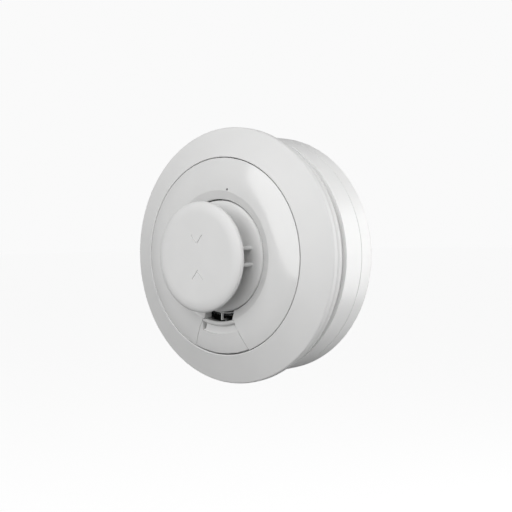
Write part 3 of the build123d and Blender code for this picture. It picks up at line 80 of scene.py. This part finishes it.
class Finish:
    """A material with one Principled shader, and short ways to wire textures into it."""

    def __init__(self, name, **sockets):
        self.material = bpy.data.materials.new(name)
        self.material.use_nodes = True
        self.nodes = self.material.node_tree.nodes
        self.links = self.material.node_tree.links
        self.shader = self.nodes["Principled BSDF"]
        self.coords = self.nodes.new("ShaderNodeTexCoord").outputs["Object"]
        self.normal = None
        for socket, value in sockets.items():
            self.shader.inputs[socket.replace("_", " ")].default_value = value

    def stretched(self, scale):
        """The object's coordinates, scaled by a different amount along each axis."""
        mapping = self.nodes.new("ShaderNodeMapping")
        mapping.inputs["Scale"].default_value = scale
        self.links.new(self.coords, mapping.inputs["Vector"])
        return mapping.outputs["Vector"]

    def noise(self, size_mm, detail=3.0, coords=None):
        """Noise whose features are about that size, from 0 to 1."""
        texture = self.nodes.new("ShaderNodeTexNoise")
        texture.inputs["Scale"].default_value = 1 / (size_mm * MM)
        texture.inputs["Detail"].default_value = detail
        self.links.new(coords or self.coords, texture.inputs["Vector"])
        return texture.outputs["Fac"]

    def part_of_axis(self, axis, low, high):
        """0 up to one place along an axis, 1 past another, in metres."""
        split = self.nodes.new("ShaderNodeSeparateXYZ")
        self.links.new(self.coords, split.inputs["Vector"])
        return self.ranged(split.outputs[axis], low, high, 0.0, 1.0)

    def ranged(self, value, from_low, from_high, to_low, to_high):
        """A value's range mapped onto another, held at its ends."""
        ranger = self.nodes.new("ShaderNodeMapRange")
        ranger.inputs["From Min"].default_value = from_low
        ranger.inputs["From Max"].default_value = from_high
        ranger.inputs["To Min"].default_value = to_low
        ranger.inputs["To Max"].default_value = to_high
        self.links.new(value, ranger.inputs["Value"])
        return ranger.outputs["Result"]

    def blend(self, share, first, second):
        """A colour between two, each a colour or another node's output."""
        mix = self.nodes.new("ShaderNodeMix")
        mix.data_type = "RGBA"
        self.links.new(share, mix.inputs["Factor"])
        for socket, colour in ((mix.inputs[6], first), (mix.inputs[7], second)):
            if isinstance(colour, tuple):
                socket.default_value = (*colour, 1.0)
            else:
                self.links.new(colour, socket)
        return mix.outputs[2]

    def clouded(self, noise, colour, darkest):
        """A colour that a noise darkens by up to a factor."""
        return self.blend(self.ranged(noise, *NOISE_MIDDLE, 0, 1), shade(colour, darkest), colour)

    def colour(self, output):
        self.links.new(output, self.shader.inputs["Base Color"])

    def roughness(self, value, low, high):
        self.links.new(self.ranged(value, *NOISE_MIDDLE, low, high), self.shader.inputs["Roughness"])

    def relief(self, height, depth_mm, strength=1.0):
        """Bump from a height of 0 to 1, added to any bump there is."""
        bump = self.nodes.new("ShaderNodeBump")
        bump.inputs["Distance"].default_value = depth_mm * MM
        bump.inputs["Strength"].default_value = strength
        self.links.new(height, bump.inputs["Height"])
        if self.normal is not None:
            self.links.new(self.normal, bump.inputs["Normal"])
        self.normal = bump.outputs["Normal"]
        self.links.new(self.normal, self.shader.inputs["Normal"])


def shade(colour, factor):
    return tuple(channel * factor for channel in colour)


def moulded(name, colour, rough, grain_mm, grain_height_mm, mottle=0.03, **sockets):
    """Injection-moulded plastic: a spark-eroded grain, and a slow change of tone and gloss."""
    gloss_change = 0.04
    finish = Finish(name, **sockets)
    slow = finish.noise(size_mm=18, detail=2)
    flow = finish.noise(size_mm=60, detail=1, coords=finish.stretched((1, 1, 0.35)))
    toned = finish.clouded(slow, colour, 1 - mottle)
    flow_share = finish.ranged(flow, 0.35, 0.65, 0, 0.5)
    finish.colour(finish.blend(flow_share, toned, shade(colour, 1 - mottle / 2)))
    finish.roughness(finish.noise(size_mm=4, detail=4), rough - gloss_change, rough + gloss_change)
    finish.relief(finish.noise(grain_mm, detail=2), grain_height_mm)
    return finish.material


def metal(name, colour, rough, stretch, scratch_mm=0.25):
    """Plated or drawn metal, with fine marks drawn out along one axis."""
    finish = Finish(name, Metallic=1.0)
    marks = finish.noise(scratch_mm, detail=3, coords=finish.stretched(stretch))
    cloud = finish.noise(size_mm=5, detail=3)
    finish.colour(finish.clouded(cloud, colour, darkest=0.82))
    finish.roughness(marks, rough - 0.08, rough + 0.12)
    finish.relief(marks, depth_mm=0.008)
    return finish.material


def circuit_board(name):
    """Green solder resist with the copper runs showing through as a lighter relief."""
    resist = (0.012, 0.115, 0.045)
    resist_over_copper = (0.03, 0.22, 0.08)
    tile = 7.5 * MM
    run_width = 0.045
    run_edge = 0.15
    finish = Finish(name, Coat_Weight=0.5, Coat_Roughness=0.12)
    runs = finish.nodes.new("ShaderNodeTexBrick")
    runs.inputs["Scale"].default_value = 1 / tile
    runs.inputs["Mortar Size"].default_value = run_width
    runs.inputs["Mortar Smooth"].default_value = run_edge
    turned = finish.nodes.new("ShaderNodeMapping")
    turned.inputs["Rotation"].default_value = (math.radians(90), 0, 0)
    finish.links.new(finish.coords, turned.inputs["Vector"])
    finish.links.new(turned.outputs["Vector"], runs.inputs["Vector"])
    lines = runs.outputs["Fac"]
    glass = finish.noise(size_mm=0.5, detail=2)
    ground = finish.clouded(glass, resist, darkest=0.85)
    finish.colour(finish.blend(lines, ground, resist_over_copper))
    finish.roughness(glass, 0.28, 0.4)
    finish.relief(lines, depth_mm=0.035)
    return finish.material


def sleeve(name, colour, bare_colour, axis, edge):
    """Shrink-sleeved can: a coloured sleeve up to its edge along one axis, bare metal past it."""
    finish = Finish(name, Coat_Weight=0.4, Coat_Roughness=0.1)
    ripple = finish.noise(size_mm=2.5, detail=2)
    sleeve_colour = finish.clouded(ripple, colour, darkest=0.85)
    bare = finish.part_of_axis(axis, *edge)
    finish.colour(finish.blend(bare, sleeve_colour, bare_colour))
    finish.roughness(ripple, 0.25, 0.36)
    finish.relief(ripple, depth_mm=0.05)
    return finish.material


def rubber(name, colour):
    """Soft black rubber with a dusty bloom."""
    finish = Finish(name, Specular_IOR_Level=0.35)
    bloom = finish.noise(size_mm=3, detail=5)
    finish.colour(finish.blend(finish.ranged(bloom, 0.35, 0.7, 0, 1), colour, shade(colour, 1.9)))
    finish.roughness(bloom, 0.62, 0.78)
    finish.relief(finish.noise(size_mm=0.3, detail=3), depth_mm=0.03)
    return finish.material


def clear(name, colour, rough, transmission):
    """Clear or tinted moulded plastic with faint flow marks."""
    finish = Finish(name, Transmission_Weight=transmission, IOR=1.49)
    flow = finish.noise(size_mm=1.5, detail=3, coords=finish.stretched((1, 0.2, 1)))
    finish.colour(finish.clouded(flow, colour, darkest=0.92))
    finish.roughness(flow, rough, rough + 0.05)
    finish.relief(flow, depth_mm=0.004)
    return finish.material


def brushed_axes(along):
    """Coordinate scales that draw marks out along X, Y or Z."""
    return tuple(0.06 if axis == along else 1.0 for axis in "XYZ")


WHITE = (0.76, 0.76, 0.755)
# Painted light: the back box gets a lighter copy of the case white, which paints its side brighter than the
# trim ring's rim under the same lamps
PAINTED_BRIGHT_BOX_WHITE = (0.86, 0.86, 0.855)
PLASTIC_BLACK = (0.010, 0.010, 0.011)
MESH_BLACK = (0.003, 0.003, 0.003)

# Where each sleeve starts to give way to bare metal, and where it has: along Z, and along Y
CELL_SLEEVE_EDGE = (0.0170, 0.0180)
CAN_SLEEVE_EDGE = (-0.0498, -0.0503)

finishes = {
    "case_white": moulded("case_white", WHITE, 0.48, 0.35, 0.010),
    "dome_white": moulded("dome_white", WHITE, 0.16, 0.6, 0.003, Coat_Weight=1.0, Coat_Roughness=0.12),
    "button_white": moulded("button_white", WHITE, 0.42, 0.22, 0.014),
    # painted light: the back box's lighter white paints its side brighter than the trim ring
    "box_white": moulded("box_white", PAINTED_BRIGHT_BOX_WHITE, 0.34, 0.4, 0.006),
    "inner_plastic": moulded("inner_plastic", (0.70, 0.70, 0.68), 0.5, 0.3, 0.02),
    "black_plastic": moulded(
        "black_plastic", PLASTIC_BLACK, 0.5, 0.25, 0.02, mottle=0.25, Specular_IOR_Level=0.3
    ),
    "black_mesh": moulded("black_mesh", MESH_BLACK, 0.7, 0.12, 0.01, mottle=0.3, Specular_IOR_Level=0.1),
    "rubber_black": rubber("rubber_black", (0.014, 0.014, 0.015)),
    "steel_zinc": metal("steel_zinc", (0.62, 0.64, 0.67), 0.28, brushed_axes("Y")),
    "spring_steel": metal("spring_steel", (0.5, 0.51, 0.53), 0.24, brushed_axes("X"), 0.15),
    "brass": metal("brass", (0.75, 0.54, 0.22), 0.25, brushed_axes("Z")),
    "tin_contact": metal("tin_contact", (0.68, 0.68, 0.67), 0.3, brushed_axes("Y")),
    "board_green": circuit_board("board_green"),
    "cell_wrap": sleeve("cell_wrap", (0.02, 0.07, 0.20), (0.55, 0.55, 0.56), "Z", CELL_SLEEVE_EDGE),
    "capacitor_sleeve": sleeve(
        "capacitor_sleeve", (0.012, 0.012, 0.03), (0.6, 0.6, 0.62), "Y", CAN_SLEEVE_EDGE
    ),
    "module_grey": moulded("module_grey", (0.035, 0.035, 0.038), 0.55, 0.4, 0.03, mottle=0.2),
    "terminal_plastic": moulded("terminal_plastic", (0.72, 0.69, 0.60), 0.45, 0.4, 0.015),
    "cover_plastic": clear("cover_plastic", (0.75, 0.78, 0.80), 0.3, 0.45),
    "clear_plastic": clear("clear_plastic", (0.92, 0.94, 0.95), 0.06, 0.95),
    "led_red": clear("led_red", (0.55, 0.02, 0.015), 0.12, 0.5),
    "sensor_epoxy": moulded("sensor_epoxy", (0.02, 0.018, 0.018), 0.22, 0.5, 0.02, mottle=0.2),
}

slot_of = {part["node"]: part["material_slot"] for part in frame["record"]["subparts"]}
for node, cad_object in frame["nodes"].items():
    for material_slot in cad_object.material_slots:
        material_slot.material = finishes[slot_of[node]]

# --- Pieces made here ---------------------------------------------------------------------------------


def tube(points, radius, sides, mesh):
    """A closed tube along points, added to a bmesh."""
    rings = []
    up = Vector((0, 1, 0))
    for index, point in enumerate(points):
        ahead = points[min(index + 1, len(points) - 1)]
        behind = points[max(index - 1, 0)]
        along = (ahead - behind).normalized()
        across = along.cross(up).normalized()
        over = across.cross(along)
        ring = []
        for side in range(sides):
            turn = 2 * math.pi * side / sides
            outward = math.cos(turn) * across + math.sin(turn) * over
            ring.append(mesh.verts.new(point + radius * outward))
        rings.append(ring)
    for first, second in zip(rings, rings[1:]):
        for side in range(sides):
            after = (side + 1) % sides
            mesh.faces.new((first[side], second[side], second[after], first[after]))
    mesh.faces.new(rings[0])
    mesh.faces.new(reversed(rings[-1]))


def piece(name, mesh, slot, body, *nodes):
    """A bmesh made into an object that stands for CAD nodes and rides on a body, smooth but for its ends."""
    bmesh.ops.recalc_face_normals(mesh, faces=mesh.faces)
    data = bpy.data.meshes.new(name)
    mesh.to_mesh(data)
    mesh.free()
    for polygon in data.polygons:
        polygon.use_smooth = len(polygon.vertices) == 4
    made = bpy.data.objects.new(name, data)
    bpy.context.scene.collection.objects.link(made)
    data.materials.append(finishes[slot])
    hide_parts(*nodes)
    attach(made, body)
    return made


# The woven mesh in front of the sounder: wires over and under each other, in the CAD plate's thickness
WEAVE_PITCH = 0.9 * MM
WIRE_RADIUS = 0.2 * MM
WIRE_SIDES = 6
STEPS_PER_PITCH = 6
FEWEST_POINTS = 3
BUTTON_CLEARANCE = 33.5 * MM
RIB_CLEARANCE = 0.5 * MM
RIB_FOOT_TOP = -36.3 * MM

mesh_low, mesh_high = (Vector(corner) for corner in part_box("sounder_mesh"))
mesh_depth = (mesh_low.y + mesh_high.y) / 2


def woven_wire(weave, start, step, count, phase):
    """One wire that waves in depth as it crosses the others, left out at the button and the rib's foot."""
    run = []
    for index in range(count + 1):
        here = start + step * index
        wave = math.sin(math.pi * index / STEPS_PER_PITCH + phase)
        point = Vector((here.x, mesh_depth + WIRE_RADIUS * wave, here.z))
        clear_of_button = math.hypot(point.x, point.z) > BUTTON_CLEARANCE
        clear_of_rib = abs(point.x) > RIB_CLEARANCE or point.z > RIB_FOOT_TOP
        if clear_of_button and clear_of_rib:
            run.append(point)
            continue
        if len(run) >= FEWEST_POINTS:
            tube(run, WIRE_RADIUS, WIRE_SIDES, weave)
        run = []
    if len(run) >= FEWEST_POINTS:
        tube(run, WIRE_RADIUS, WIRE_SIDES, weave)


weave = bmesh.new()
columns = int((mesh_high.x - mesh_low.x) / WEAVE_PITCH)
rows = int((mesh_high.z - mesh_low.z) / WEAVE_PITCH)
fine_step = WEAVE_PITCH / STEPS_PER_PITCH
first_x = (mesh_low.x + mesh_high.x - columns * WEAVE_PITCH) / 2
first_z = (mesh_low.z + mesh_high.z - rows * WEAVE_PITCH) / 2
for column in range(columns + 1):
    foot = Vector((first_x + column * WEAVE_PITCH, 0, first_z))
    phase = math.pi / 2 + column * math.pi
    woven_wire(weave, foot, Vector((0, 0, fine_step)), rows * STEPS_PER_PITCH, phase)
for row in range(rows + 1):
    foot = Vector((first_x, 0, first_z + row * WEAVE_PITCH))
    phase = math.pi / 2 + (row + 1) * math.pi
    woven_wire(weave, foot, Vector((fine_step, 0, 0)), columns * STEPS_PER_PITCH, phase)
piece("sounder_weave", weave, "black_mesh", "alarm_head", "sounder_mesh")

# The return spring, with a closed coil at each end
SPRING_TURNS = 3.75
END_TURNS = 0.6
STEPS_PER_TURN = 40
SPRING_WIRE_RADIUS = 0.45 * MM
SPRING_WIRE_SIDES = 12

spring_low, spring_high = (Vector(corner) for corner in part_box("return_spring"))
coil_radius = (spring_high.x - spring_low.x) / 2 - SPRING_WIRE_RADIUS
coil_length = spring_high.y - spring_low.y - 2 * SPRING_WIRE_RADIUS
coil_centre = (spring_low + spring_high) / 2

coil_points = []
total_turns = SPRING_TURNS + 2 * END_TURNS
for index in range(int(total_turns * STEPS_PER_TURN) + 1):
    turns = index / STEPS_PER_TURN
    rise = min(max((turns - END_TURNS) / SPRING_TURNS, 0), 1)
    angle = 2 * math.pi * turns
    x = coil_centre.x + coil_radius * math.cos(angle)
    y = spring_high.y - SPRING_WIRE_RADIUS - coil_length * rise
    z = coil_centre.z + coil_radius * math.sin(angle)
    coil_points.append(Vector((x, y, z)))
coil = bmesh.new()
tube(coil_points, SPRING_WIRE_RADIUS, SPRING_WIRE_SIDES, coil)
spring = piece("return_coil", coil, "spring_steel", "alarm_head", "return_spring")
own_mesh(spring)

# --- Studio -------------------------------------------------------------------------------------------

FLOOR_DROP = 0.30
FLOOR_SIZE = 40.0
FLOOR_GREY = (0.25, 0.25, 0.25)
FLOOR_GLOW = 0.85
BACKDROP = 0.955

# The light from around the object grows from dim to bright between two heights of its direction
DIM_BELOW, BRIGHT_ABOVE = -0.9, 0.3
DIM, BRIGHT = 0.10, 0.375

middle = (Vector(cad_box[0]) + Vector(cad_box[1])) / 2


def soft_light(name, direction, distance, size, power, roll=0.0):
    """A square soft box that looks at the detector from a direction, rolled about its own axis."""
    lamp = bpy.data.lights.new(name, "AREA")
    lamp.shape = "SQUARE"
    lamp.size = size
    lamp.energy = power
    box = bpy.data.objects.new(name, lamp)
    towards = Vector(direction).normalized()
    box.location = middle + towards * distance
    turn = towards.to_track_quat("Z", "Y") @ Quaternion((0, 0, 1), math.radians(roll))
    box.rotation_euler = turn.to_euler()
    box.visible_camera = False
    bpy.context.scene.collection.objects.link(box)


soft_light("side_key", (0.76, 0.65, 0.02), distance=1.0, size=1.0, power=8.4)
soft_light("edge_fill", (0.94, -0.30, 0.10), distance=1.0, size=0.6, power=1.2)
soft_light("front_fill", (0.12, -0.91, 0.39), distance=1.3, size=1.7, power=17.4, roll=-22)

floor_mesh = bmesh.new()
half = FLOOR_SIZE / 2
corners = [(-half, -half), (half, -half), (half, half), (-half, half)]
floor_height = cad_box[0][2] - FLOOR_DROP
floor_mesh.faces.new([floor_mesh.verts.new((x, y, floor_height)) for x, y in corners])
floor_data = bpy.data.meshes.new("floor")
floor_mesh.to_mesh(floor_data)
floor_mesh.free()
floor = bpy.data.objects.new("floor", floor_data)
bpy.context.scene.collection.objects.link(floor)
pale_floor = moulded("pale_floor", FLOOR_GREY, rough=0.8, grain_mm=6.0, grain_height_mm=0.01, mottle=0.01)
floor_shader = pale_floor.node_tree.nodes["Principled BSDF"]
floor_shader.inputs["Emission Color"].default_value = (1, 1, 1, 1)
floor_shader.inputs["Emission Strength"].default_value = FLOOR_GLOW
floor_data.materials.append(pale_floor)
floor.visible_diffuse = False
floor.visible_glossy = False

# The camera sees a plain near-white world, which lights the object more from above than from below
world = bpy.data.worlds.new("studio")
bpy.context.scene.world = world
world.use_nodes = True
sky = world.node_tree.nodes
wires = world.node_tree.links
backdrop = sky["Background"]
backdrop.inputs["Color"].default_value = (BACKDROP, BACKDROP, BACKDROP, 1)
surround = sky.new("ShaderNodeBackground")
coords = sky.new("ShaderNodeTexCoord")
split = sky.new("ShaderNodeSeparateXYZ")
ramp = sky.new("ShaderNodeMapRange")
ramp.inputs["From Min"].default_value = DIM_BELOW
ramp.inputs["From Max"].default_value = BRIGHT_ABOVE
ramp.inputs["To Min"].default_value = DIM
ramp.inputs["To Max"].default_value = BRIGHT
wires.new(coords.outputs["Generated"], split.inputs["Vector"])
wires.new(split.outputs["Z"], ramp.inputs["Value"])
wires.new(ramp.outputs["Result"], surround.inputs["Strength"])
rays = sky.new("ShaderNodeLightPath")
chooser = sky.new("ShaderNodeMixShader")
wires.new(rays.outputs["Is Camera Ray"], chooser.inputs["Fac"])
wires.new(surround.outputs["Background"], chooser.inputs[1])
wires.new(backdrop.outputs["Background"], chooser.inputs[2])
wires.new(chooser.outputs["Shader"], sky["World Output"].inputs["Surface"])

bpy.context.scene.view_settings.view_transform = "Standard"

# --- Camera: about 39 degrees to the right of the detector's front, and about 1 degree above it -------

CAMERA_PLACE = Vector((0.3459, -0.4430, 0.0116))
CAMERA_RIGHT = Vector((0.7754, 0.6311, -0.0186))
CAMERA_BACK = Vector((0.6314, -0.7751, 0.0228))
FOCAL_LENGTH_MM = 63.28
SENSOR_WIDTH_MM = 36.0
NEAREST_SEEN = 0.01

lens = bpy.data.cameras.new("camera")
lens.lens = FOCAL_LENGTH_MM
lens.sensor_width = SENSOR_WIDTH_MM
lens.clip_start = NEAREST_SEEN
camera = bpy.data.objects.new("camera", lens)
right = CAMERA_RIGHT.normalized()
back = CAMERA_BACK.normalized()
up = back.cross(right).normalized()
aim = Matrix((right, up, back)).transposed().to_quaternion()
camera.matrix_world = Matrix.LocRotScale(CAMERA_PLACE, aim, None)
bpy.context.scene.collection.objects.link(camera)
bpy.context.scene.camera = camera
